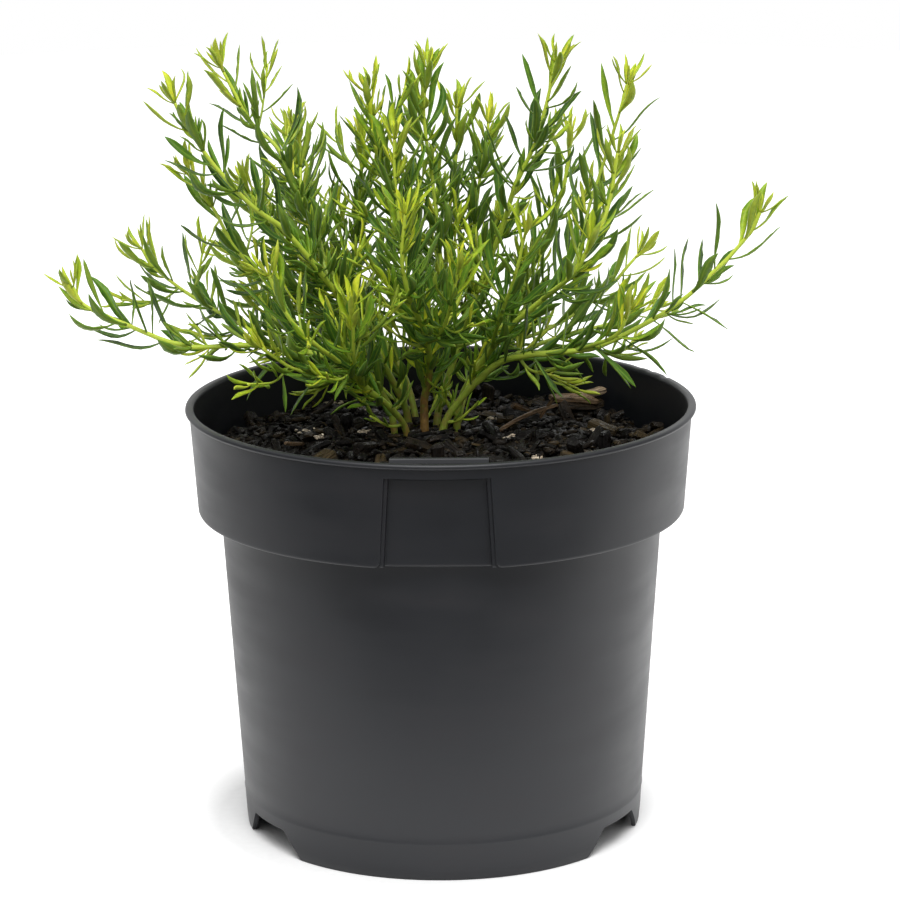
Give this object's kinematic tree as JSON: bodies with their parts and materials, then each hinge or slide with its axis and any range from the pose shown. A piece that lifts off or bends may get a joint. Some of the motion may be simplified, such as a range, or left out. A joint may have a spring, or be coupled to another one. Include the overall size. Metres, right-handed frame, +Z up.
{
  "type": "potted creeping boobialla",
  "caption": "Young creeping boobialla with narrow green leaves on low and rising stems, growing in bark mix in a round black nursery pot.",
  "frame": {"origin": "on the surface that the pot stands on, under the middle of the box round pot and plant, 6 mm to the left of the pot's own axis", "axes": "+Z up along the pot's axis, -Y towards the label panel at the pot's front, +X to the right seen from the front"},
  "size_m": [0.1977, 0.14, 0.2201],
  "materials": {
    "pot_plastic": "satin",
    "bark_mix": "damp",
    "foliage": "satin"
  },
  "bodies": {
    "root": {"pot": "pot_plastic", "potting_mix": "bark_mix", "leafy_stem_centre": "foliage", "leafy_stem_front_left": "foliage", "leafy_stem_low_left": "foliage", "leafy_stem_upper_left": "foliage", "leafy_stem_back_left": "foliage", "leafy_stem_back": "foliage", "leafy_stem_back_right": "foliage", "leafy_stem_upper_right": "foliage", "leafy_stem_low_right": "foliage"}
  },
  "joints": []
}
